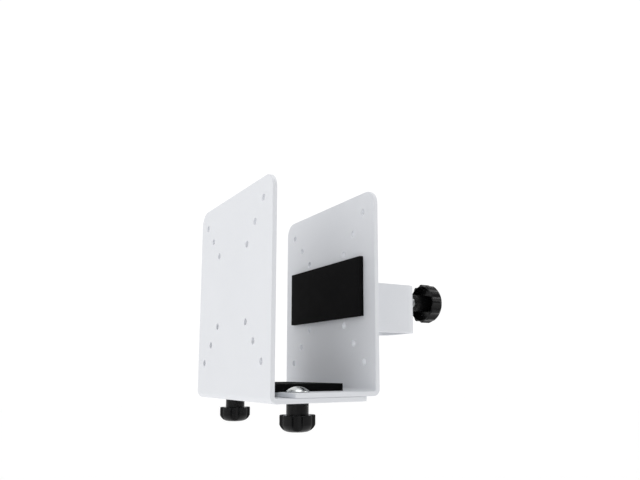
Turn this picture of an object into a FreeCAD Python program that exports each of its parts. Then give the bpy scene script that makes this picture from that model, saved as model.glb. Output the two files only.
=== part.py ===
"""Adjustable holder for a small computer, clamped to the side of an upright pole.

Two folded steel L brackets overlap at the bottom and make a bay of adjustable width. Carriage
bolts and hand knobs lock the overlap. A U strap, a moulded saddle and a screw with a hand knob
hold the whole thing on the pole.

Frame, in millimetres: the origin is on the pole's axis at the middle height of the strap, +Z runs
up along the pole, and -X points from the pole to the bay. -Y is the open front of the bay.
"""
import FreeCAD, Part
import math
import os

V = FreeCAD.Vector
AXIS_X = V(1, 0, 0)
AXIS_Y = V(0, 1, 0)
AXIS_Z = V(0, 0, 1)

# Sheet metal
SHEET = 3.0
BEND_INNER_R = 1.5
CORNER_R = 10.0
UPPER_FLANGE_CORNER_R = 1.0
EDGE_R = 0.5
SLIP_GAP = 0.05
TOLERANCE = 0.01

# The bay: two upright plates, 127 mm square above their bends
PLATE_LENGTH = 127.0
PLATE_ABOVE_CENTRE = 63.5
BAY_WIDTH = 70.0
POLE_TO_PLATE = 38.0
CENTRE_Z = 10.0
FLOOR_BELOW_CENTRE = 68.6
UPPER_FLANGE_END = 13.5
LOWER_FLANGE_END = 2.5

# Square patterns of mounting holes, shared by both plates
PATTERN_SIZES = (50.0, 75.0, 100.0)
PATTERN_HOLE_R = 2.25

# Foam pads
SIDE_PAD_LENGTH = 100.0
SIDE_PAD_HEIGHT = 40.0
SIDE_PAD_THICK = 3.0
FLOOR_PAD_LENGTH = 80.0
FLOOR_PAD_WIDTH = 50.0
FLOOR_PAD_THICK = 5.0
FLOOR_PAD_FROM_PLATE = 10.0
PAD_CORNER_R = 0.5

# Quarter-inch carriage bolts that join the two brackets
BOLT_R = 3.175
BOLT_FROM_BAY_SIDE = 21.5
BOLT_SPACING = 100.0
BOLT_HEAD_R = 7.5
BOLT_HEAD_HEIGHT = 3.6
BOLT_LENGTH = 18.5
BOLT_NECK = 6.35
SQUARE_HOLE = 6.6
SLOT_WIDTH = 7.0
SLOT_START = 15.0
SLOT_END = 57.0
THREAD_CLEARANCE = 0.06
BOLT_POINT = 0.8

# Nylon washers and hand knobs under the bottom
WASHER_R = 6.8
WASHER_HOLE_R = 3.5
WASHER_THICK = 1.2
KNOB_HUB_R = 6.8
KNOB_HUB_HEIGHT = 5.95
KNOB_HEAD_R = 10.9
KNOB_HEAD_HEIGHT = 10.0
KNOB_LOBES = 5
KNOB_FLUTE_R = 3.6
KNOB_FLUTE_DEPTH = 2.9
KNOB_TURN = {"front": 26.6, "rear": 32.2}
KNOB_INSERT_R = 4.6
KNOB_INSERT_LENGTH = 10.0
KNOB_BORE_DEPTH = 12.5

# Shape shared by all the knobs: shares of the head's radius or height, and edge radii
KNOB_SIDE_SHARE = 0.57
KNOB_BACK_SHARE = 0.5
KNOB_CUP_SHARE = {"bottom": 0.62, "clamp": 0.88}
KNOB_CUP_DEPTH_SHARE = 0.5
LOBE_CREST_R = 0.8
KNOB_MOUTH_R = 0.5
KNOB_RIDGE_R = 0.6
KNOB_HUB_EDGE_R = 0.4
KNOB_RIDGE_DEGREES = 12.0
KNOB_OVERHANG = 1.0
KNOB_SIDE_DRAFT = 0.9
KNOB_SHOULDER_SHARES = (0.83, 0.62)

# U strap round the pole
STRAP_INNER_WIDTH = 36.0
STRAP_HEIGHT = 36.0
STRAP_END_X = 27.2
STRAP_END_BEND_R = 9.0
STRAP_FOOT_REACH = 13.5
STRAP_FOOT_BEND_R = 1.5

# Pole saddle, its liner and the screws that hold it
POLE_R = 17.5
LINER_THICK = 1.5
SADDLE_WIDTH = 35.4
SADDLE_SCREW_Y = 9.5
SADDLE_SCREW_Z = (-3.0, 12.0)
SCREW_R = 2.5
SCREW_HEAD_R = 4.7
SCREW_HEAD_HEIGHT = 2.6
SCREW_LENGTH = 14.0
SCREW_HOLE_R = 2.75
SCREW_HEAD_CLEARANCE = 0.1
SOCKET_AF = 3.0
SOCKET_DEPTH = 1.8
INSERT_R = 3.6
INSERT_LENGTH = 8.0
SADDLE_FOOT_CLEARANCE = 0.3
SADDLE_HOLE_CLEARANCE = 0.3
SADDLE_HOLE_EXTRA = 2.0
INSERT_CLEARANCE = 0.02

# Clamp screw, its nut, knob and pressure foot
CLAMP_SCREW_Z = 7.5
STUD_R = 3.0
STUD_HOLE_R = 3.4
STUD_START_X = 21.0
WELD_NUT_AF = 11.0
WELD_NUT_HEIGHT = 5.0
WELD_NUT_CORNER_CUT = 0.3
CLAMP_KNOB_X = 39.0
CLAMP_HUB_R = 6.6
CLAMP_HUB_HEIGHT = 8.4
CLAMP_HEAD_R = 15.4
CLAMP_HEAD_HEIGHT = 13.2
CLAMP_LOBES = 12
CLAMP_FLUTE_R = 6.0
CLAMP_FLUTE_DEPTH = 1.2
CLAMP_TURN = 15.0
STUD_HEAD_AF = 10.0
STUD_HEAD_HEIGHT = 4.0
STUD_IN_KNOB = 13.0
STUD_COLLAR_R = 3.6
STUD_COLLAR_HEIGHT = 0.8
FOOT_R = 8.0
FOOT_THICK = 3.0
FOOT_BOSS_R = 5.2
FOOT_BOSS_HEIGHT = 0.9
FOOT_CAP_THICK = 1.5
FOOT_SOCKET_CLEARANCE = 0.08

# Places worked out from the sizes above
RIGHT_OUTER_X = -POLE_TO_PLATE
RIGHT_INNER_X = RIGHT_OUTER_X - SHEET
LEFT_INNER_X = RIGHT_INNER_X - BAY_WIDTH
LEFT_OUTER_X = LEFT_INNER_X - SHEET
HALF_LENGTH = PLATE_LENGTH / 2
TOP_Z = CENTRE_Z + PLATE_ABOVE_CENTRE
FLOOR_Z = CENTRE_Z - FLOOR_BELOW_CENTRE
UPPER_FLANGE_UNDER_Z = FLOOR_Z - SHEET
LOWER_FLANGE_TOP_Z = UPPER_FLANGE_UNDER_Z - SLIP_GAP
LOWER_FLANGE_UNDER_Z = LOWER_FLANGE_TOP_Z - SHEET
BEND_OUTER_R = BEND_INNER_R + SHEET
BOLT_X = LEFT_INNER_X + BOLT_FROM_BAY_SIDE
BOLT_YS = {"front": -BOLT_SPACING / 2, "rear": BOLT_SPACING / 2}
WASHER_TOP_Z = LOWER_FLANGE_UNDER_Z - SLIP_GAP
KNOB_TOP_Z = WASHER_TOP_Z - WASHER_THICK
STRAP_OUTER_HALF = STRAP_INNER_WIDTH / 2 + SHEET
STRAP_END_INNER_X = STRAP_END_X - SHEET
LINER_OUTER_R = POLE_R + LINER_THICK


def point_on_circle(centre_a, centre_b, radius, degrees):
    angle = math.radians(degrees)
    return centre_a + radius * math.cos(angle), centre_b + radius * math.sin(angle)


def sharp_edges(shape, limit_degrees=20.0):
    """Edges where two faces meet at a real corner, not where a bend runs into a flat."""
    found = []
    for edge in shape.Edges:
        faces = shape.ancestorsOfType(edge, Part.Face)
        if len(faces) != 2:
            continue
        middle = edge.valueAt((edge.FirstParameter + edge.LastParameter) / 2)
        normals = [face.normalAt(*face.Surface.parameter(middle)) for face in faces]
        if math.degrees(normals[0].getAngle(normals[1])) > limit_degrees:
            found.append(edge)
    return found


def rounded_box(low, high, radius, along):
    """A box whose four edges along one axis are rounded."""
    size = high - low
    box = Part.makeBox(size.x, size.y, size.z, low)
    parallel = 1 - TOLERANCE
    edges = [e for e in box.Edges if abs(e.tangentAt(e.FirstParameter).dot(along)) > parallel]
    return box.makeFillet(radius, edges)


def hexagon_prism(across_flats, height, centre, direction):
    radius = across_flats / math.sqrt(3)
    corners = [V(*point_on_circle(0, 0, radius, 60 * k), 0) for k in range(6)]
    prism = Part.Face(Part.makePolygon(corners + corners[:1])).extrude(V(0, 0, height))
    prism.Placement = FreeCAD.Placement(centre, FreeCAD.Rotation(AXIS_Z, direction))
    return prism


def l_profile(plate_outer_x, plate_inner_x, flange_end_x, top_z, flange_top_z):
    """Outline in the XZ plane of a sheet folded once: a plate up, a flange towards the bay."""
    into_bay = 1 if flange_end_x > plate_outer_x else -1
    under_z = flange_top_z - SHEET
    bend_x = plate_inner_x + into_bay * BEND_INNER_R
    bend_z = flange_top_z + BEND_INNER_R
    half = math.sqrt(0.5)
    inner_mid = V(bend_x - into_bay * BEND_INNER_R * half, 0, bend_z - BEND_INNER_R * half)
    outer_mid = V(bend_x - into_bay * BEND_OUTER_R * half, 0, bend_z - BEND_OUTER_R * half)
    corners = {
        "outer_top": V(plate_outer_x, 0, top_z),
        "inner_top": V(plate_inner_x, 0, top_z),
        "inner_bend": V(plate_inner_x, 0, bend_z),
        "floor_bend": V(bend_x, 0, flange_top_z),
        "floor_end": V(flange_end_x, 0, flange_top_z),
        "under_end": V(flange_end_x, 0, under_z),
        "under_bend": V(bend_x, 0, under_z),
        "outer_bend": V(plate_outer_x, 0, bend_z),
    }
    c = corners
    edges = [
        Part.makeLine(c["outer_top"], c["inner_top"]),
        Part.makeLine(c["inner_top"], c["inner_bend"]),
        Part.Arc(c["inner_bend"], inner_mid, c["floor_bend"]).toShape(),
        Part.makeLine(c["floor_bend"], c["floor_end"]),
        Part.makeLine(c["floor_end"], c["under_end"]),
        Part.makeLine(c["under_end"], c["under_bend"]),
        Part.Arc(c["under_bend"], outer_mid, c["outer_bend"]).toShape(),
        Part.makeLine(c["outer_bend"], c["outer_top"]),
    ]
    return Part.Face(Part.Wire(edges))


def folded_bracket(plate_outer_x, plate_inner_x, flange_end_x, flange_top_z, flange_corner_r):
    """A folded L bracket with round free corners and softened edges."""
    profile = l_profile(plate_outer_x, plate_inner_x, flange_end_x, TOP_Z, flange_top_z)
    profile.translate(V(0, -HALF_LENGTH, 0))
    solid = profile.extrude(V(0, PLATE_LENGTH, 0))
    top_corners = []
    flange_corners = []
    for edge in solid.Edges:
        middle = edge.CenterOfMass
        at_side = abs(abs(middle.y) - HALF_LENGTH) < TOLERANCE
        crosses_sheet = edge.Length < SHEET + TOLERANCE
        if at_side and crosses_sheet and abs(middle.z - TOP_Z) < TOLERANCE:
            top_corners.append(edge)
        if at_side and crosses_sheet and abs(middle.x - flange_end_x) < TOLERANCE:
            flange_corners.append(edge)
    solid = solid.makeFillet(CORNER_R, top_corners)
    flange_corners = [e for e in solid.Edges
                      if any(e.CenterOfMass.distanceToPoint(c.CenterOfMass) < TOLERANCE
                             for c in flange_corners)]
    solid = solid.makeFillet(flange_corner_r, flange_corners)
    return solid.makeFillet(EDGE_R, sharp_edges(solid))


def pattern_holes(start_x):
    """Drills for the square hole patterns, through one plate along X."""
    drills = []
    for size in PATTERN_SIZES:
        for side_y in (-1, 1):
            for side_z in (-1, 1):
                base = V(start_x - SHEET, side_y * size / 2, CENTRE_Z + side_z * size / 2)
                drills.append(Part.makeCylinder(PATTERN_HOLE_R, 3 * SHEET, base, AXIS_X))
    return Part.makeCompound(drills)


def countersink(at, depth_direction):
    """Clearance hole and cone for one flat-head screw, entering the sheet at the point given."""
    hole = Part.makeCylinder(SCREW_HOLE_R, SHEET * 2, at, depth_direction)
    cone_r = SCREW_HEAD_R + SCREW_HEAD_CLEARANCE
    cone = Part.makeCone(cone_r, SCREW_HOLE_R, SCREW_HEAD_HEIGHT, at, depth_direction)
    return hole.fuse(cone)


def saddle_screw_points(x):
    return [V(x, side * SADDLE_SCREW_Y, z) for side in (-1, 1) for z in SADDLE_SCREW_Z]


def right_bracket():
    """Fixed bracket: carries the pole clamp, and its flange is the bay's floor."""
    flange_end = LEFT_INNER_X + UPPER_FLANGE_END
    body = folded_bracket(RIGHT_OUTER_X, RIGHT_INNER_X, flange_end, FLOOR_Z, UPPER_FLANGE_CORNER_R)
    body = body.cut(pattern_holes(RIGHT_INNER_X))
    for bolt_y in BOLT_YS.values():
        low = V(BOLT_X - SQUARE_HOLE / 2, bolt_y - SQUARE_HOLE / 2, FLOOR_Z - 2 * SHEET)
        body = body.cut(Part.makeBox(SQUARE_HOLE, SQUARE_HOLE, 3 * SHEET, low))
    for at in saddle_screw_points(RIGHT_INNER_X):
        body = body.cut(countersink(at, AXIS_X))
    return body


def left_bracket():
    """Sliding bracket: its flange runs under the fixed one, with two slots for the bolts."""
    flange_end = RIGHT_INNER_X - LOWER_FLANGE_END
    body = folded_bracket(LEFT_OUTER_X, LEFT_INNER_X, flange_end, LOWER_FLANGE_TOP_Z, CORNER_R)
    body = body.cut(pattern_holes(LEFT_OUTER_X))
    for bolt_y in BOLT_YS.values():
        low = V(LEFT_INNER_X + SLOT_START - SLOT_WIDTH / 2, bolt_y - SLOT_WIDTH / 2,
                LOWER_FLANGE_UNDER_Z - SHEET)
        high = V(LEFT_INNER_X + SLOT_END + SLOT_WIDTH / 2, bolt_y + SLOT_WIDTH / 2,
                 LOWER_FLANGE_TOP_Z + SHEET)
        body = body.cut(rounded_box(low, high, SLOT_WIDTH / 2 - TOLERANCE, AXIS_Z))
    return body


def side_pad(low_x):
    low = V(low_x, -SIDE_PAD_LENGTH / 2, CENTRE_Z - SIDE_PAD_HEIGHT / 2)
    high = V(low_x + SIDE_PAD_THICK, SIDE_PAD_LENGTH / 2, CENTRE_Z + SIDE_PAD_HEIGHT / 2)
    return rounded_box(low, high, PAD_CORNER_R, AXIS_X)


def bottom_pad():
    high_x = RIGHT_INNER_X - FLOOR_PAD_FROM_PLATE
    low = V(high_x - FLOOR_PAD_WIDTH, -FLOOR_PAD_LENGTH / 2, FLOOR_Z)
    high = V(high_x, FLOOR_PAD_LENGTH / 2, FLOOR_Z + FLOOR_PAD_THICK)
    return rounded_box(low, high, PAD_CORNER_R, AXIS_Z)


def carriage_bolt(bolt_y):
    """Domed head, square neck that sits in the square hole, and a round shank."""
    height = BOLT_HEAD_HEIGHT
    dome_r = (BOLT_HEAD_R ** 2 + height ** 2) / (2 * height)
    rim = V(BOLT_HEAD_R, 0, 0)
    crown = V(0, 0, height)
    half_angle = math.asin(BOLT_HEAD_R / dome_r) / 2
    shoulder = V(dome_r * math.sin(half_angle), 0, height - dome_r * (1 - math.cos(half_angle)))
    arc = Part.Arc(rim, shoulder, crown).toShape()
    outline = [arc, Part.makeLine(crown, V(0, 0, 0)), Part.makeLine(V(0, 0, 0), rim)]
    head = Part.Face(Part.Wire(outline)).revolve(V(0, 0, 0), AXIS_Z, 360)
    neck = Part.makeBox(BOLT_NECK, BOLT_NECK, SHEET, V(-BOLT_NECK / 2, -BOLT_NECK / 2, -SHEET))
    shank = Part.makeCylinder(BOLT_R, BOLT_LENGTH, V(0, 0, -BOLT_LENGTH))
    ends = [e for e in shank.Edges if abs(e.CenterOfMass.z + BOLT_LENGTH) < TOLERANCE]
    shank = shank.makeChamfer(BOLT_POINT, ends)
    bolt = head.fuse([neck, shank]).removeSplitter()
    bolt.translate(V(BOLT_X, bolt_y, FLOOR_Z))
    return bolt


def ring(outer_r, inner_r, height, base, direction):
    outer = Part.makeCylinder(outer_r, height, base, direction)
    return outer.cut(Part.makeCylinder(inner_r, height, base, direction))


def arc_about(centre, start, end, radius):
    """Short arc from start to end on a circle in a plane of constant Z."""
    outward = (start + end) / 2 - centre
    return Part.Arc(start, centre + outward * (radius / outward.Length), end).toShape()


def lobed_outline(head_r, lobes, flute_r, flute_depth):
    """Outline of a knob's head: hollow flutes between crests, all arcs tangent."""
    flute_at = head_r - flute_depth + flute_r
    crest_at = head_r - LOBE_CREST_R
    apart = flute_r + LOBE_CREST_R
    cosine = (flute_at ** 2 + crest_at ** 2 - apart ** 2) / (2 * flute_at * crest_at)
    spread = math.degrees(math.acos(cosine))
    step = 360.0 / lobes
    edges = []
    for k in range(lobes):
        turn = k * step
        flute = V(*point_on_circle(0, 0, flute_at, turn), 0)
        crests = [V(*point_on_circle(0, 0, crest_at, turn + side * spread), 0) for side in (-1, 1)]
        touches = [flute + (crest - flute) * (flute_r / apart) for crest in crests]
        rims = [V(*point_on_circle(0, 0, head_r, turn + side * spread), 0) for side in (-1, 1)]
        bottom = V(*point_on_circle(0, 0, head_r - flute_depth, turn), 0)
        crown = V(*point_on_circle(0, 0, head_r, turn + step / 2), 0)
        next_rim = V(*point_on_circle(0, 0, head_r, turn + step - spread), 0)
        edges.append(arc_about(crests[0], rims[0], touches[0], LOBE_CREST_R))
        edges.append(Part.Arc(touches[0], bottom, touches[1]).toShape())
        edges.append(arc_about(crests[1], touches[1], rims[1], LOBE_CREST_R))
        edges.append(Part.Arc(rims[1], crown, next_rim).toShape())
    return Part.Wire(edges)


def knob_envelope(head_r, height):
    """Body of revolution that gives a knob's head its upright side and domed back."""
    side = KNOB_SIDE_SHARE * height
    back_r = KNOB_BACK_SHARE * head_r
    out_r = head_r + KNOB_OVERHANG
    corners = [V(0, 0, 0), V(out_r, 0, 0), V(out_r, 0, side - KNOB_SIDE_DRAFT), V(head_r, 0, side)]
    edges = [Part.makeLine(a, b) for a, b in zip(corners, corners[1:])]
    out_share, up_share = KNOB_SHOULDER_SHARES
    shoulder = V(out_share * head_r, 0, side + up_share * (height - side))
    back = V(back_r, 0, height)
    edges.append(Part.Arc(corners[-1], shoulder, back).toShape())
    edges.append(Part.makeLine(back, V(0, 0, height)))
    edges.append(Part.makeLine(V(0, 0, height), corners[0]))
    return Part.Face(Part.Wire(edges)).revolve(V(0, 0, 0), AXIS_Z, 360)


def hand_knob(head_r, hub_r, hub_height, head_height, cup_r, outline):
    """A moulded knob along +Z: plain hub, hollow cup and a lobed head with a domed back."""
    prism = Part.Face(outline).extrude(V(0, 0, head_height))
    head = prism.common(knob_envelope(head_r, head_height)).removeSplitter()
    mouth = [e for e in head.Edges if e.BoundBox.ZMax < TOLERANCE]
    head = head.makeFillet(KNOB_MOUTH_R, mouth)
    ridges = [e for e in sharp_edges(head, KNOB_RIDGE_DEGREES)
              if e.BoundBox.ZMax < head_height - TOLERANCE]
    head = head.makeFillet(KNOB_RIDGE_R, ridges)
    cup_depth = KNOB_CUP_DEPTH_SHARE * head_height
    head = head.cut(Part.makeCylinder(cup_r, cup_depth))
    head.translate(V(0, 0, hub_height))
    hub = Part.makeCylinder(hub_r, hub_height + cup_depth + KNOB_OVERHANG)
    hub_end = [e for e in hub.Edges if e.BoundBox.ZMax < TOLERANCE]
    return hub.makeFillet(KNOB_HUB_EDGE_R, hub_end).fuse(head).removeSplitter()


def bottom_knob(place):
    """Knob under the bottom, hub up, with a blind bore for its insert and the bolt's end."""
    outline = lobed_outline(KNOB_HEAD_R, KNOB_LOBES, KNOB_FLUTE_R, KNOB_FLUTE_DEPTH)
    cup_r = KNOB_CUP_SHARE["bottom"] * KNOB_HEAD_R
    knob = hand_knob(KNOB_HEAD_R, KNOB_HUB_R, KNOB_HUB_HEIGHT, KNOB_HEAD_HEIGHT, cup_r, outline)
    knob = knob.cut(Part.makeCylinder(KNOB_INSERT_R, KNOB_INSERT_LENGTH))
    knob = knob.cut(Part.makeCylinder(WASHER_HOLE_R, KNOB_BORE_DEPTH))
    hub_down = FreeCAD.Rotation(AXIS_Z, KNOB_TURN[place]) * FreeCAD.Rotation(AXIS_X, 180)
    knob.Placement = FreeCAD.Placement(V(BOLT_X, BOLT_YS[place], KNOB_TOP_Z), hub_down)
    return knob


def knob_insert(bolt_y):
    top = V(BOLT_X, bolt_y, KNOB_TOP_Z)
    return ring(KNOB_INSERT_R, BOLT_R + THREAD_CLEARANCE, KNOB_INSERT_LENGTH, top, -AXIS_Z)


def washer(bolt_y):
    top = V(BOLT_X, bolt_y, WASHER_TOP_Z)
    return ring(WASHER_R, WASHER_HOLE_R, WASHER_THICK, top, -AXIS_Z)


def strap_outline(offset):
    """Half outline of the strap in the XY plane: end wall, side wall, then the foot."""
    half_width = STRAP_INNER_WIDTH / 2 + offset
    end_x = STRAP_END_INNER_X + offset
    end_r = STRAP_END_BEND_R - SHEET + offset
    foot_x = RIGHT_OUTER_X + SHEET - offset
    foot_r = STRAP_FOOT_BEND_R + offset
    foot_tip = half_width - offset - STRAP_FOOT_REACH
    half = math.sqrt(0.5)
    end_centre = (end_x - end_r, half_width - end_r)
    foot_centre = (foot_x + foot_r, half_width - foot_r)
    end_mid = V(end_centre[0] + end_r * half, end_centre[1] + end_r * half, 0)
    foot_mid = V(foot_centre[0] - foot_r * half, foot_centre[1] + foot_r * half, 0)
    start = V(end_x, 0, 0)
    end_top = V(end_x, end_centre[1], 0)
    side_start = V(end_centre[0], half_width, 0)
    side_end = V(foot_centre[0], half_width, 0)
    foot_start = V(foot_x, foot_centre[1], 0)
    tip = V(foot_x, foot_tip, 0)
    edges = [
        Part.makeLine(start, end_top),
        Part.Arc(end_top, end_mid, side_start).toShape(),
        Part.makeLine(side_start, side_end),
        Part.Arc(side_end, foot_mid, foot_start).toShape(),
        Part.makeLine(foot_start, tip),
    ]
    return edges, start, tip


def clamp_strap():
    """U strap of sheet whose feet turn inwards and lie flat on the fixed bracket."""
    inner, inner_start, inner_tip = strap_outline(0.0)
    outer, outer_start, outer_tip = strap_outline(SHEET)
    caps = [Part.makeLine(inner_start, outer_start), Part.makeLine(inner_tip, outer_tip)]
    half_face = Part.Face(Part.Wire(Part.__sortEdges__(inner + outer + caps)))
    half_face.translate(V(0, 0, -STRAP_HEIGHT / 2))
    half = half_face.extrude(V(0, 0, STRAP_HEIGHT))
    body = half.fuse(half.mirror(V(0, 0, 0), AXIS_Y)).removeSplitter()
    body = body.makeFillet(EDGE_R, sharp_edges(body))
    stud_hole = Part.makeCylinder(STUD_HOLE_R, 3 * SHEET,
                                  V(STRAP_END_INNER_X - SHEET, 0, CLAMP_SCREW_Z), AXIS_X)
    body = body.cut(stud_hole)
    for at in saddle_screw_points(RIGHT_OUTER_X - SHEET):
        body = body.cut(Part.makeCylinder(SCREW_HOLE_R, 3 * SHEET, at, AXIS_X))
    return body


def pole_saddle():
    """Moulded block between the strap's feet and the pole, hollowed to the liner's radius."""
    base_x = RIGHT_OUTER_X + SHEET
    half_width = SADDLE_WIDTH / 2
    block = Part.makeBox(-base_x, SADDLE_WIDTH, STRAP_HEIGHT, V(base_x, -half_width, -STRAP_HEIGHT / 2))
    base_edges = [e for e in block.Edges
                  if abs(e.CenterOfMass.x - base_x) < TOLERANCE and abs(e.CenterOfMass.z) < TOLERANCE]
    block = block.makeFillet(STRAP_FOOT_BEND_R + SADDLE_FOOT_CLEARANCE, base_edges)
    seat = Part.makeCylinder(LINER_OUTER_R, STRAP_HEIGHT, V(0, 0, -STRAP_HEIGHT / 2))
    block = block.cut(seat)
    for at in saddle_screw_points(base_x):
        block = block.cut(Part.makeCylinder(INSERT_R, INSERT_LENGTH, at, AXIS_X))
        hole_r = SCREW_R + SADDLE_HOLE_CLEARANCE
        block = block.cut(Part.makeCylinder(hole_r, INSERT_LENGTH + SADDLE_HOLE_EXTRA, at, AXIS_X))
    return block


def liner():
    """Rubber strip on the saddle's seat, a cut from a tube of the pole's radius."""
    tube = ring(LINER_OUTER_R, POLE_R, STRAP_HEIGHT, V(0, 0, -STRAP_HEIGHT / 2), AXIS_Z)
    half_width = SADDLE_WIDTH / 2
    cradle_x = math.sqrt(LINER_OUTER_R ** 2 - half_width ** 2)
    keep = Part.makeBox(LINER_OUTER_R - cradle_x, 2 * LINER_OUTER_R, STRAP_HEIGHT,
                        V(-LINER_OUTER_R, -LINER_OUTER_R, -STRAP_HEIGHT / 2))
    return tube.common(keep)


def saddle_screw(at):
    """Flat-head socket screw, its head flush with the bay side of the plate."""
    head = Part.makeCone(SCREW_HEAD_R, SCREW_R, SCREW_HEAD_HEIGHT, at, AXIS_X)
    shank = Part.makeCylinder(SCREW_R, SCREW_LENGTH, at, AXIS_X)
    socket = hexagon_prism(SOCKET_AF, SOCKET_DEPTH, at, AXIS_X)
    return head.fuse(shank).removeSplitter().cut(socket)


def saddle_screws():
    return Part.makeCompound([saddle_screw(at) for at in saddle_screw_points(RIGHT_INNER_X)])


def saddle_inserts():
    base_x = RIGHT_OUTER_X + SHEET
    rings = [ring(INSERT_R, SCREW_R + INSERT_CLEARANCE, INSERT_LENGTH, at, AXIS_X)
             for at in saddle_screw_points(base_x)]
    return Part.makeCompound(rings)


def weld_nut():
    at = V(STRAP_END_X, 0, CLAMP_SCREW_Z)
    body = hexagon_prism(WELD_NUT_AF, WELD_NUT_HEIGHT, at, AXIS_X)
    round_r = WELD_NUT_AF / math.sqrt(3) - WELD_NUT_CORNER_CUT
    body = body.common(Part.makeCylinder(round_r, WELD_NUT_HEIGHT, at, AXIS_X))
    return body.cut(Part.makeCylinder(STUD_R + THREAD_CLEARANCE, WELD_NUT_HEIGHT, at, AXIS_X))


def clamp_knob():
    outline = lobed_outline(CLAMP_HEAD_R, CLAMP_LOBES, CLAMP_FLUTE_R, CLAMP_FLUTE_DEPTH)
    cup_r = KNOB_CUP_SHARE["clamp"] * CLAMP_HEAD_R
    knob = hand_knob(CLAMP_HEAD_R, CLAMP_HUB_R, CLAMP_HUB_HEIGHT, CLAMP_HEAD_HEIGHT, cup_r, outline)
    knob = knob.cut(Part.makeCylinder(STUD_R, STUD_IN_KNOB))
    head_low = V(0, 0, STUD_IN_KNOB - STUD_HEAD_HEIGHT)
    knob = knob.cut(hexagon_prism(STUD_HEAD_AF, STUD_HEAD_HEIGHT, head_low, AXIS_Z))
    place = V(CLAMP_KNOB_X, 0, CLAMP_SCREW_Z)
    crest_up = FreeCAD.Rotation(AXIS_X, CLAMP_TURN) * FreeCAD.Rotation(AXIS_Z, AXIS_X)
    knob.Placement = FreeCAD.Placement(place, crest_up)
    return knob


def clamp_stud():
    """Threaded stud from the pressure foot to its hex head, moulded into the knob."""
    end_x = CLAMP_KNOB_X + STUD_IN_KNOB
    start = V(STUD_START_X, 0, CLAMP_SCREW_Z)
    shank = Part.makeCylinder(STUD_R, end_x - STUD_START_X, start, AXIS_X)
    tip = [e for e in shank.Edges if abs(e.CenterOfMass.x - STUD_START_X) < TOLERANCE]
    shank = shank.makeChamfer(BOLT_POINT, tip)
    crest_up = FreeCAD.Rotation(AXIS_X, CLAMP_TURN) * FreeCAD.Rotation(AXIS_Z, AXIS_X)
    head = hexagon_prism(STUD_HEAD_AF, STUD_HEAD_HEIGHT, V(0, 0, 0), AXIS_Z)
    head_x = end_x - STUD_HEAD_HEIGHT
    head.Placement = FreeCAD.Placement(V(head_x, 0, CLAMP_SCREW_Z), crest_up)
    collar_at = V(CLAMP_KNOB_X - STUD_COLLAR_HEIGHT, 0, CLAMP_SCREW_Z)
    collar = Part.makeCylinder(STUD_COLLAR_R, STUD_COLLAR_HEIGHT, collar_at, AXIS_X)
    return shank.fuse([head, collar]).removeSplitter()


def pressure_foot():
    """Steel disc on the stud's tip, which pushes the pole into the saddle."""
    front_x = POLE_R + FOOT_CAP_THICK
    disc = Part.makeCylinder(FOOT_R, FOOT_THICK, V(front_x, 0, CLAMP_SCREW_Z), AXIS_X)
    boss = Part.makeCylinder(FOOT_BOSS_R, FOOT_THICK + FOOT_BOSS_HEIGHT,
                             V(front_x, 0, CLAMP_SCREW_Z), AXIS_X)
    socket = Part.makeCylinder(STUD_R + FOOT_SOCKET_CLEARANCE, FOOT_THICK + FOOT_BOSS_HEIGHT,
                               V(STUD_START_X - FOOT_SOCKET_CLEARANCE, 0, CLAMP_SCREW_Z), AXIS_X)
    return disc.fuse(boss).removeSplitter().cut(socket)


def foot_cap():
    """Rubber face of the foot, between the steel disc and the pole."""
    return Part.makeCylinder(FOOT_R, FOOT_CAP_THICK, V(POLE_R, 0, CLAMP_SCREW_Z), AXIS_X)


def all_nodes():
    nodes = {
        "right_bracket": right_bracket(),
        "left_bracket": left_bracket(),
        "right_side_pad": side_pad(RIGHT_INNER_X - SIDE_PAD_THICK),
        "left_side_pad": side_pad(LEFT_INNER_X),
        "bottom_pad": bottom_pad(),
        "clamp_strap": clamp_strap(),
        "pole_saddle": pole_saddle(),
        "saddle_liner": liner(),
        "saddle_screws": saddle_screws(),
        "saddle_inserts": saddle_inserts(),
        "clamp_weld_nut": weld_nut(),
        "clamp_knob": clamp_knob(),
        "clamp_stud": clamp_stud(),
        "pressure_foot": pressure_foot(),
        "pressure_foot_cap": foot_cap(),
    }
    for place, bolt_y in BOLT_YS.items():
        nodes[place + "_carriage_bolt"] = carriage_bolt(bolt_y)
        nodes[place + "_washer"] = washer(bolt_y)
        nodes[place + "_knob"] = bottom_knob(place)
        nodes[place + "_knob_insert"] = knob_insert(bolt_y)
    return nodes


def main():
    os.makedirs("parts", exist_ok=True)
    for name, shape in all_nodes().items():
        shape.exportStep("parts/" + name + ".step")
        print(name, "valid" if shape.isValid() else "NOT VALID", round(shape.Volume, 1), "mm3")


main()
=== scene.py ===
"""Looks of an adjustable holder that clamps a small computer to the side of an upright pole.

Folded and powder-coated sheet steel, foam pads, moulded nylon knobs and zinc-plated screws.
"""

import bmesh
import bpy
import math
from mathutils import Matrix, Vector


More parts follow.
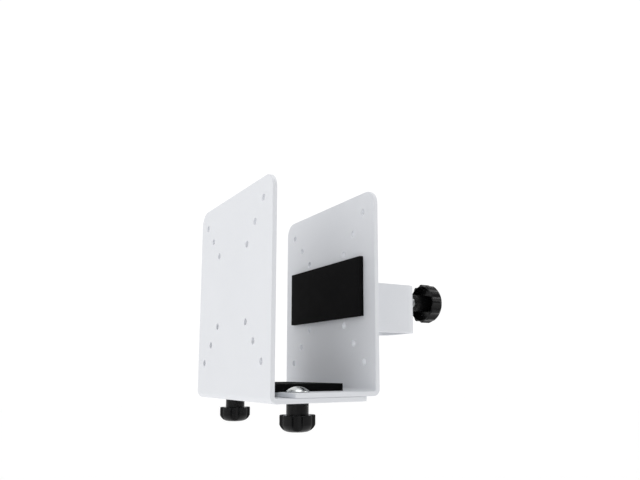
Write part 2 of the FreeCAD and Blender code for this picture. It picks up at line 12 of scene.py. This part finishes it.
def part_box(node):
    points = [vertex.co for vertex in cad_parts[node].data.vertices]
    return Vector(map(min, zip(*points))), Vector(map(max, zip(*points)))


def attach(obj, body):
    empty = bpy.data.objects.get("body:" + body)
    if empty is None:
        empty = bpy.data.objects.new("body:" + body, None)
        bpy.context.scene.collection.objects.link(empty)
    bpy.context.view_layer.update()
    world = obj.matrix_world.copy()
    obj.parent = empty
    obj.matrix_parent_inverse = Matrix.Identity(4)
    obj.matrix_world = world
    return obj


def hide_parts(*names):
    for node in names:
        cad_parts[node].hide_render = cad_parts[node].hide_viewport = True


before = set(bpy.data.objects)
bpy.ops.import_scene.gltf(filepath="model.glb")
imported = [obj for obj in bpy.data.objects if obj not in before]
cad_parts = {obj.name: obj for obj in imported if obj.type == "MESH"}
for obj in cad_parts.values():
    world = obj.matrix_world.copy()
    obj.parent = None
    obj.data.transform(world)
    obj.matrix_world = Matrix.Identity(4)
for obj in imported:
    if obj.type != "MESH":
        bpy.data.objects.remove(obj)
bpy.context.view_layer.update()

MM = 0.001
MM_A_METRE = 1000.0
WHITE = (1, 1, 1, 1)

# The sRGB curve: a straight part up to the knee, a power above it
SRGB_KNEE = 0.04045
SRGB_SLOPE = 12.92
SRGB_OFFSET = 0.055
SRGB_POWER = 2.4
FULL_CHANNEL = 255

# Sockets of the mix node when it mixes colours, and the range that noise seldom leaves
MIX_FACTOR, MIX_FIRST, MIX_SECOND, MIX_COLOUR = 0, 6, 7, 2
NOISE_LOW = 0.3
NOISE_HIGH = 0.7

# Spacing of the wave texture's rings at scale 1
WAVE_SPACING = math.pi / 10

# Camera, in the frame of the object: low, in front of the bay and to its left, looking a little up
CAMERA_AT = Vector((-0.26503, -0.38879, -0.04578))
CAMERA_YAW = math.radians(31.48)
CAMERA_PITCH = math.radians(8.81)
CAMERA_ROLL = math.radians(-0.20)
CAMERA_LENS = 34.7
CAMERA_SHIFT = (-0.0345, 0.055)
CAMERA_SENSOR = 36.0
CAMERA_CLIP = 0.01

# How bright the white tent is in front of the object and behind it, and where it changes
TENT_FRONT = 0.42
TENT_BACK = 1.05
TENT_FRONT_Y = -0.9
TENT_BACK_Y = 0.25

# Soft lights: place in metres, width in metres, power in watts
SOFTBOXES = {
    "left_softbox": ((-1.2, -0.9, 0.35), 0.7, 2.2),
    "top_softbox": ((0.1, -0.1, 1.4), 0.6, 3.5),
    "right_softbox": ((0.9, -0.55, 0.6), 0.22, 2.2),
}
LIGHTS_AIM_AT = Vector((-0.05, 0, 0))

# The floor under the pole's stand
FLOOR_Z = -1.1
FLOOR_REACH = 20.0
FLOOR_GLOW = 0.15

# Tolerances: welding, cutting, lying level, running along an axis, standing upright
WELD_DISTANCE = 1e-6
CUT_DISTANCE = 1e-8
LEVEL_DISTANCE = 1e-7
ALONG_COSINE = 0.99
UPRIGHT_COSINE = 0.5

# Foam pads
PAD_CORNER_R = 0.5 * MM
PAD_CORNER_SEGMENTS = 6
PAD_EDGE_R = 0.25 * MM
PAD_EDGE_SEGMENTS = 4
PAD_SWELL = 0.2 * MM
PAD_SWELL_POWER = 6
PAD_SLICES = 16

# Quarter-inch carriage bolts
BOLT_R = 3.175 * MM
BOLT_PITCH = 1.27 * MM
BOLT_HEAD_R = 7.5 * MM
BOLT_HEAD_HEIGHT = 3.6 * MM
BOLT_RIM = 0.5 * MM
BOLT_DOME_RINGS = 14
BOLT_HEAD_STEPS = 64
BOLT_NECK = 6.35 * MM
BOLT_NECK_EDGE_R = 0.2 * MM
SHEET = 3.0 * MM

# Clamp screw
STUD_R = 3.0 * MM
STUD_PITCH = 1.0 * MM
STUD_COLLAR_R = 3.6 * MM
STUD_COLLAR = 0.8 * MM
STUD_COLLAR_SIDES = 48
STUD_COLLAR_EDGE_R = 0.15 * MM
STUD_COLLAR_FROM_END = 13.8 * MM
STUD_HEAD_R = 10.0 * MM / math.sqrt(3)
STUD_HEAD = 4.0 * MM
STUD_HEAD_SIDES = 6

# Threads of both, as shares of the pitch, and the segments of a small rounded edge
THREAD_DEPTH_SHARE = 0.55
THREAD_CREST_SHARE = 0.12
THREAD_SPARE_TURNS = 2
STEPS_A_TURN = 32
SMALL_EDGE_SEGMENTS = 2


def linear(hex_colour):
    """An sRGB colour as a paint card gives it, turned to the linear colour a shader takes."""
    channels = []
    for start in (1, 3, 5):
        value = int(hex_colour[start:start + 2], 16) / FULL_CHANNEL
        if value <= SRGB_KNEE:
            channels.append(value / SRGB_SLOPE)
        else:
            channels.append(((value + SRGB_OFFSET) / (1 + SRGB_OFFSET)) ** SRGB_POWER)
    return (*channels, 1.0)


def per_metre(millimetres):
    """Scale of a noise or cell pattern whose features are this far apart."""
    return MM_A_METRE / millimetres


def add(tree, kind, settings=None, inputs=None):
    """Adds a node. An input is a value, or another node's output to link it to."""
    made = tree.nodes.new(kind)
    for name, value in (settings or {}).items():
        setattr(made, name, value)
    for socket, value in (inputs or {}).items():
        if isinstance(value, bpy.types.NodeSocket):
            tree.links.new(value, made.inputs[socket])
        else:
            made.inputs[socket].default_value = value
    return made


def new_finish(name, constants):
    """A material with its shader's constant values set, and its object coordinates."""
    material = bpy.data.materials.new(name)
    material.use_nodes = True
    shader = material.node_tree.nodes["Principled BSDF"]
    for socket, value in constants.items():
        shader.inputs[socket].default_value = value
    coords = add(material.node_tree, "ShaderNodeTexCoord").outputs["Object"]
    return material, material.node_tree, shader, coords


def varied(tree, shader, coords, patch_mm, colours, roughness):
    """Drifts the colour and the roughness between two values, in patches of the size given."""
    patches = add(tree, "ShaderNodeTexNoise", None,
                  {"Vector": coords, "Scale": per_metre(patch_mm), "Detail": 3.0})
    colour = add(tree, "ShaderNodeMix", {"data_type": "RGBA"},
                 {MIX_FACTOR: patches.outputs["Fac"], MIX_FIRST: linear(colours[0]),
                  MIX_SECOND: linear(colours[1])})
    tree.links.new(colour.outputs[MIX_COLOUR], shader.inputs["Base Color"])
    worn = add(tree, "ShaderNodeMapRange", None,
               {"Value": patches.outputs["Fac"], "From Min": NOISE_LOW,
                "From Max": NOISE_HIGH, "To Min": roughness[0], "To Max": roughness[1]})
    tree.links.new(worn.outputs["Result"], shader.inputs["Roughness"])


def raised(tree, shader, height, depth_mm):
    """Gives the surface the relief of a pattern."""
    bump = add(tree, "ShaderNodeBump", None,
               {"Height": height, "Distance": depth_mm * MM, "Strength": 1.0})
    tree.links.new(bump.outputs["Normal"], shader.inputs["Normal"])


def white_powder_coat():
    """Polyester powder coat, baked on steel: satin, with the soft ripple called orange peel."""
    material, tree, shader, coords = new_finish("white_powder_coat", {"IOR": 1.5})
    varied(tree, shader, coords, patch_mm=45.0, colours=("#E2E4E8", "#DFE1E5"),
           roughness=(0.42, 0.50))
    peel = add(tree, "ShaderNodeTexNoise", None,
               {"Vector": coords, "Scale": per_metre(2.2), "Detail": 2.0})
    raised(tree, shader, peel.outputs["Fac"], depth_mm=0.035)
    return material


def black_eva_foam():
    """Closed-cell EVA foam, die cut: dead matt, with a skin of fine cells."""
    constants = {"IOR": 1.45, "Specular IOR Level": 0.12}
    material, tree, shader, coords = new_finish("black_eva_foam", constants)
    varied(tree, shader, coords, patch_mm=7.0, colours=("#080809", "#0E0E0F"),
           roughness=(0.88, 0.97))
    # The cells are about 0.4 mm across, drawn at twice that so that they show
    cells = add(tree, "ShaderNodeTexVoronoi", {"feature": "DISTANCE_TO_EDGE"},
                {"Vector": coords, "Scale": per_metre(0.8)})
    raised(tree, shader, cells.outputs["Distance"], depth_mm=0.12)
    return material


def moulded_black_nylon(name, grain_mm, colours, roughness):
    """Nylon from a spark-eroded mould: near black, fine grained, satin on its ridges."""
    constants = {"IOR": 1.53, "Specular IOR Level": 0.16}
    material, tree, shader, coords = new_finish(name, constants)
    varied(tree, shader, coords, patch_mm=5.0, colours=colours, roughness=roughness)
    grain = add(tree, "ShaderNodeTexNoise", None,
                {"Vector": coords, "Scale": per_metre(grain_mm), "Detail": 4.0})
    raised(tree, shader, grain.outputs["Fac"], depth_mm=0.03)
    return material


def plated_steel(name, colours, roughness):
    """Bright zinc plate on cold-headed steel, a little cloudy, with fine tumbling marks."""
    material, tree, shader, coords = new_finish(name, {"Metallic": 1.0})
    varied(tree, shader, coords, patch_mm=3.0, colours=colours, roughness=roughness)
    marks = add(tree, "ShaderNodeTexNoise", None,
                {"Vector": coords, "Scale": per_metre(0.9), "Detail": 5.0, "Roughness": 0.7})
    raised(tree, shader, marks.outputs["Fac"], depth_mm=0.012)
    return material


def turned_rings(tree, coords, centre, ring_mm):
    """Tool rings round the Z line through a point, this far apart."""
    about = add(tree, "ShaderNodeMapping", {"vector_type": "POINT"},
                {"Vector": coords, "Location": -Vector(centre)})
    return add(tree, "ShaderNodeTexWave",
               {"wave_type": "RINGS", "rings_direction": "Z", "wave_profile": "SIN"},
               {"Vector": about.outputs["Vector"], "Distortion": 0.4,
                "Scale": WAVE_SPACING / (ring_mm * MM)})


def cut_nylon(centre):
    """Black nylon washer stamped from sheet: waxy, with faint rings."""
    constants = {"IOR": 1.53, "Specular IOR Level": 0.3}
    material, tree, shader, coords = new_finish("cut_black_nylon", constants)
    varied(tree, shader, coords, patch_mm=6.0, colours=("#141415", "#1C1C1D"),
           roughness=(0.40, 0.52))
    rings = turned_rings(tree, coords, centre, ring_mm=0.5)
    raised(tree, shader, rings.outputs["Fac"], depth_mm=0.01)
    return material


def turned_brass(centre):
    """Free-cutting brass bar, turned: warm yellow, with the tool's rings left in it."""
    material, tree, shader, coords = new_finish("turned_brass", {"Metallic": 1.0})
    varied(tree, shader, coords, patch_mm=4.0, colours=("#C7A05A", "#D6B36E"),
           roughness=(0.24, 0.36))
    rings = turned_rings(tree, coords, centre, ring_mm=0.4)
    raised(tree, shader, rings.outputs["Fac"], depth_mm=0.01)
    return material


def moulded_rubber():
    """Black EPDM sheet: soft, dull and slightly dusty, with the grain of its release cloth."""
    constants = {"IOR": 1.5, "Specular IOR Level": 0.3}
    material, tree, shader, coords = new_finish("moulded_epdm_rubber", constants)
    varied(tree, shader, coords, patch_mm=9.0, colours=("#161617", "#212122"),
           roughness=(0.70, 0.86))
    weave = add(tree, "ShaderNodeTexVoronoi", {"feature": "F1"},
                {"Vector": coords, "Scale": per_metre(0.9), "Randomness": 0.35})
    raised(tree, shader, weave.outputs["Distance"], depth_mm=0.05)
    return material


def paint(node_name, finish):
    """Gives a CAD node its finish."""
    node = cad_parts[node_name]
    for material_slot in node.material_slots:
        material_slot.material = finish


def placed(name, data):
    """Puts a mesh, a light or a camera into the scene as an object."""
    made = bpy.data.objects.new(name, data)
    bpy.context.scene.collection.objects.link(made)
    return made


def mesh_data(name, mesh):
    """Turns a working mesh into mesh data, and frees it."""
    data = bpy.data.meshes.new(name)
    mesh.to_mesh(data)
    mesh.free()
    return data


def make_piece(name, mesh, finish, body, stands_for):
    """Turns a finished mesh into a piece that rides on a body in place of a CAD node."""
    bmesh.ops.recalc_face_normals(mesh, faces=mesh.faces)
    data = mesh_data(name, mesh)
    data.materials.append(finish)
    piece = placed(name, data)
    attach(piece, body)
    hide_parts(stands_for)
    return piece


def bevel(mesh, edges, radius, segments):
    """Rounds edges."""
    bmesh.ops.bevel(mesh, geom=edges, offset=radius, offset_type="OFFSET",
                    affect="EDGES", segments=segments, profile=0.5, material=-1)


def smooth(mesh):
    """Shades every face smooth."""
    for face in mesh.faces:
        face.smooth = True


def everything(mesh):
    """All that a cut can go through."""
    return mesh.verts[:] + mesh.edges[:] + mesh.faces[:]


def block(low, high):
    """A plain box between two corners."""
    mesh = bmesh.new()
    bmesh.ops.create_cube(mesh, size=1.0)
    bmesh.ops.scale(mesh, vec=high - low, verts=mesh.verts)
    bmesh.ops.translate(mesh, vec=(low + high) / 2, verts=mesh.verts)
    return mesh


def prism(sides, radius, height, middle_z):
    """An upright prism about Z."""
    mesh = bmesh.new()
    bmesh.ops.create_cone(mesh, cap_ends=True, segments=sides, radius1=radius, radius2=radius,
                          depth=height)
    bmesh.ops.translate(mesh, vec=(0, 0, middle_z), verts=mesh.verts)
    return mesh


def along(edge, axis):
    """True if the edge runs along an axis, 0, 1 or 2."""
    direction = (edge.verts[1].co - edge.verts[0].co).normalized()
    return abs(direction[axis]) > ALONG_COSINE


def swollen_share(place, low, high, across):
    """How far a point of a pad's face swells: fully in the middle, not at all at the rim."""
    share = 1.0
    for axis in across:
        from_middle = 2 * (place[axis] - low[axis]) / (high[axis] - low[axis]) - 1
        share *= 1 - from_middle ** PAD_SWELL_POWER
    return share


def slice_up(mesh, low, high, across):
    """Cuts a pad into a grid across its face, so that the face can swell."""
    for axis in across:
        normal = Vector([float(each == axis) for each in range(3)])
        for cut in range(1, PAD_SLICES):
            at = low + (high - low) * cut / PAD_SLICES
            bmesh.ops.bisect_plane(mesh, geom=everything(mesh), plane_co=at, plane_no=normal)


def rim_of(face_verts, thin_axis):
    """Edges between a pad's flat face and its sides."""
    return {edge for vert in face_verts for edge in vert.link_edges
            if all(other in face_verts for other in edge.verts)
            and any(abs(face.normal[thin_axis]) < UPRIGHT_COSINE for face in edge.link_faces)}


def foam_pad(node_name, body, thin_axis, outward):
    """Die-cut foam: round corners, a soft rim, and a face that swells a little from the cut."""
    low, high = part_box(node_name)
    face_side = high if outward > 0 else low
    face_side[thin_axis] -= outward * PAD_SWELL
    flat_at = face_side[thin_axis]
    across = [axis for axis in range(3) if axis != thin_axis]
    mesh = block(low, high)
    corners = [edge for edge in mesh.edges if along(edge, thin_axis)]
    bevel(mesh, corners, PAD_CORNER_R, PAD_CORNER_SEGMENTS)
    slice_up(mesh, low, high, across)
    on_face = [vert for vert in mesh.verts
               if abs(vert.co[thin_axis] - flat_at) < LEVEL_DISTANCE]
    rim = rim_of(on_face, thin_axis)
    for vert in on_face:
        vert.co[thin_axis] += outward * PAD_SWELL * swollen_share(vert.co, low, high, across)
    bevel(mesh, list(rim), PAD_EDGE_R, PAD_EDGE_SEGMENTS)
    smooth(mesh)
    pad = make_piece(node_name + "_foam", mesh, FOAM, body, node_name)


def spun(mesh, points, turns=1, pitch=0.0, steps=STEPS_A_TURN):
    """Turns a line of (radius, height) points about Z, rising by the pitch on each turn."""
    verts = [mesh.verts.new((radius, 0, height)) for radius, height in points]
    edges = [mesh.edges.new(pair) for pair in zip(verts, verts[1:])]
    bmesh.ops.spin(mesh, geom=verts + edges, cent=(0, 0, 0), axis=(0, 0, 1),
                   dvec=(0, 0, pitch / steps), angle=turns * math.tau, steps=turns * steps,
                   use_merge=pitch == 0, use_duplicate=False)


def closed_at(mesh, height, outward):
    """Cuts a mesh off at a height and closes it there."""
    cut = bmesh.ops.bisect_plane(mesh, geom=everything(mesh), plane_co=(0, 0, height),
                                 plane_no=(0, 0, outward), clear_outer=True,
                                 dist=CUT_DISTANCE)
    edges = [edge for edge in cut["geom_cut"] if isinstance(edge, bmesh.types.BMEdge)]
    bmesh.ops.contextual_create(mesh, geom=edges)


def threaded_rod(radius, pitch, start, end):
    """A right-hand thread along Z, with narrow flat roots and crests, and closed ends."""
    mesh = bmesh.new()
    root = radius - THREAD_DEPTH_SHARE * pitch
    crest = THREAD_CREST_SHARE * pitch
    first = start - THREAD_SPARE_TURNS * pitch
    half_way = first + pitch / 2
    turns = math.ceil((end - start) / pitch) + 2 * THREAD_SPARE_TURNS
    profile = ((root, first), (root, first + crest), (radius, half_way),
               (radius, half_way + crest), (root, first + pitch))
    spun(mesh, profile, turns, pitch)
    bmesh.ops.remove_doubles(mesh, verts=mesh.verts, dist=WELD_DISTANCE)
    closed_at(mesh, start, -1)
    closed_at(mesh, end, 1)
    return mesh


def joined(meshes):
    """Puts closed meshes together as one piece's mesh."""
    whole = bmesh.new()
    for mesh in meshes:
        data = mesh_data("part", mesh)
        whole.from_mesh(data)
        bpy.data.meshes.remove(data)
    return whole


def bolt_head():
    """Shallow dome on a short upright rim."""
    rise = BOLT_HEAD_HEIGHT - BOLT_RIM
    dome_r = (BOLT_HEAD_R ** 2 + rise ** 2) / (2 * rise)
    widest = math.asin(BOLT_HEAD_R / dome_r)
    points = [(0, 0), (BOLT_HEAD_R - BOLT_RIM / 2, 0), (BOLT_HEAD_R, BOLT_RIM / 2)]
    for ring in range(BOLT_DOME_RINGS, -1, -1):
        angle = widest * ring / BOLT_DOME_RINGS
        points.append((dome_r * math.sin(angle), BOLT_HEAD_HEIGHT - dome_r * (1 - math.cos(angle))))
    mesh = bmesh.new()
    spun(mesh, points, steps=BOLT_HEAD_STEPS)
    bmesh.ops.remove_doubles(mesh, verts=mesh.verts, dist=WELD_DISTANCE)
    smooth(mesh)
    return mesh


def carriage_bolt(place):
    """Domed head, square neck in its square hole, and a threaded shank."""
    node_name = place + "_carriage_bolt"
    low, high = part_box(node_name)
    seat = high.z - BOLT_HEAD_HEIGHT
    shank = threaded_rod(BOLT_R, BOLT_PITCH, low.z - seat, -SHEET)
    half_neck = BOLT_NECK / 2
    neck = block(Vector((-half_neck, -half_neck, -SHEET)), Vector((half_neck, half_neck, 0)))
    bevel(neck, neck.edges[:], BOLT_NECK_EDGE_R, SMALL_EDGE_SEGMENTS)
    bolt = joined([bolt_head(), neck, shank])
    bmesh.ops.translate(bolt, vec=((low.x + high.x) / 2, (low.y + high.y) / 2, seat),
                        verts=bolt.verts)
    make_piece(node_name + "_steel", bolt, BOLT_ZINC, "frame", node_name)


def clamp_stud():
    """Threaded stud with a plain collar against the knob and a hex head inside the knob."""
    low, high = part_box("clamp_stud")
    length = high.x - low.x
    collar_at = length - STUD_COLLAR_FROM_END
    rod = threaded_rod(STUD_R, STUD_PITCH, 0, length - STUD_HEAD)
    collar = prism(STUD_COLLAR_SIDES, STUD_COLLAR_R, STUD_COLLAR, collar_at + STUD_COLLAR / 2)
    rims = [edge for edge in collar.edges
            if abs(edge.verts[0].co.z - edge.verts[1].co.z) < LEVEL_DISTANCE]
    bevel(collar, rims, STUD_COLLAR_EDGE_R, SMALL_EDGE_SEGMENTS)
    head = prism(STUD_HEAD_SIDES, STUD_HEAD_R, STUD_HEAD, length - STUD_HEAD / 2)
    stud = joined([rod, collar, head])
    bmesh.ops.transform(stud, matrix=Matrix.Rotation(math.pi / 2, 4, "Y"), verts=stud.verts)
    bmesh.ops.translate(stud, vec=(low.x, (low.y + high.y) / 2, (low.z + high.z) / 2),
                        verts=stud.verts)
    make_piece("clamp_stud_steel", stud, SCREW_STEEL, "clamp_screw", "clamp_stud")


def camera():
    """Sets the camera by its place, heading, pitch and roll."""
    data = bpy.data.cameras.new("camera")
    data.lens = CAMERA_LENS
    data.sensor_width = CAMERA_SENSOR
    data.shift_x, data.shift_y = CAMERA_SHIFT
    data.clip_start = CAMERA_CLIP
    held = placed("camera", data)
    held.matrix_world = (Matrix.Translation(CAMERA_AT)
                         @ Matrix.Rotation(-CAMERA_YAW, 4, "Z")
                         @ Matrix.Rotation(math.pi / 2 + CAMERA_PITCH, 4, "X")
                         @ Matrix.Rotation(CAMERA_ROLL, 4, "Z"))
    bpy.context.scene.camera = held


def softbox(name, at, size, watts):
    """A square soft light that faces the middle of the object."""
    data = bpy.data.lights.new(name, "AREA")
    data.size = size
    data.energy = watts
    lamp = placed(name, data)
    lamp.location = at
    lamp.rotation_euler = (LIGHTS_AIM_AT - Vector(at)).to_track_quat("-Z", "Y").to_euler()


def white_tent():
    """A white world that is dimmer in front of the object than behind it."""
    bpy.context.scene.view_settings.view_transform = "Standard"
    world = bpy.data.worlds.new("white_tent")
    bpy.context.scene.world = world
    world.use_nodes = True
    tent = world.node_tree.nodes["Background"]
    tent.inputs["Color"].default_value = WHITE
    direction = add(world.node_tree, "ShaderNodeTexCoord").outputs["Generated"]
    axes = add(world.node_tree, "ShaderNodeSeparateXYZ", None, {"Vector": direction})
    fall_off = add(world.node_tree, "ShaderNodeMapRange", {"interpolation_type": "SMOOTHSTEP"},
                   {"Value": axes.outputs["Y"], "From Min": TENT_FRONT_Y,
                    "From Max": TENT_BACK_Y, "To Min": TENT_FRONT, "To Max": TENT_BACK})
    world.node_tree.links.new(fall_off.outputs["Result"], tent.inputs["Strength"])


def paper_floor():
    """A pale floor under the stand that the pole rises from."""
    sweep = bmesh.new()
    bmesh.ops.create_grid(sweep, x_segments=1, y_segments=1, size=FLOOR_REACH)
    bmesh.ops.translate(sweep, vec=(0, 0, FLOOR_Z), verts=sweep.verts)
    data = mesh_data("floor", sweep)
    floor = placed("floor", data)
    constants = {"IOR": 1.4, "Emission Color": WHITE, "Emission Strength": FLOOR_GLOW}
    material, tree, shader, coords = new_finish("pale_paper_sweep", constants)
    varied(tree, shader, coords, patch_mm=300.0, colours=("#FDFDFD", "#FFFFFF"),
           roughness=(0.85, 0.95))
    data.materials.append(material)


camera()
white_tent()
for light_name, (at, width, watts) in SOFTBOXES.items():
    softbox(light_name, at, width, watts)
paper_floor()

COAT = white_powder_coat()
FOAM = black_eva_foam()
KNOB_NYLON = moulded_black_nylon("moulded_black_nylon", grain_mm=0.7,
                                 colours=("#070708", "#0D0D0E"), roughness=(0.24, 0.34))
SADDLE_NYLON = moulded_black_nylon("glass_filled_black_nylon", grain_mm=1.0,
                                   colours=("#161617", "#1E1E1F"), roughness=(0.50, 0.64))
BOLT_ZINC = plated_steel("bright_zinc_plated_steel", colours=("#B9BEC4", "#D2D2CD"),
                         roughness=(0.20, 0.34))
SCREW_STEEL = plated_steel("clear_zinc_plated_steel", colours=("#BFC3C8", "#D2D2CF"),
                           roughness=(0.34, 0.48))
RUBBER = moulded_rubber()

for node_name in ("right_bracket", "left_bracket", "clamp_strap"):
    paint(node_name, COAT)
for node_name in ("front_knob", "rear_knob", "clamp_knob"):
    paint(node_name, KNOB_NYLON)
for node_name in ("saddle_screws", "clamp_weld_nut", "pressure_foot"):
    paint(node_name, SCREW_STEEL)
for node_name in ("saddle_liner", "pressure_foot_cap"):
    paint(node_name, RUBBER)
paint("pole_saddle", SADDLE_NYLON)
for place in ("front", "rear"):
    low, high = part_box(place + "_washer")
    paint(place + "_washer", cut_nylon((low + high) / 2))
    low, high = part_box(place + "_knob_insert")
    paint(place + "_knob_insert", turned_brass((low + high) / 2))
low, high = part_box("saddle_inserts")
paint("saddle_inserts", turned_brass((low + high) / 2))

foam_pad("right_side_pad", "frame", thin_axis=0, outward=-1)
foam_pad("left_side_pad", "left_bracket", thin_axis=0, outward=1)
foam_pad("bottom_pad", "frame", thin_axis=2, outward=1)
carriage_bolt("front")
carriage_bolt("rear")
clamp_stud()
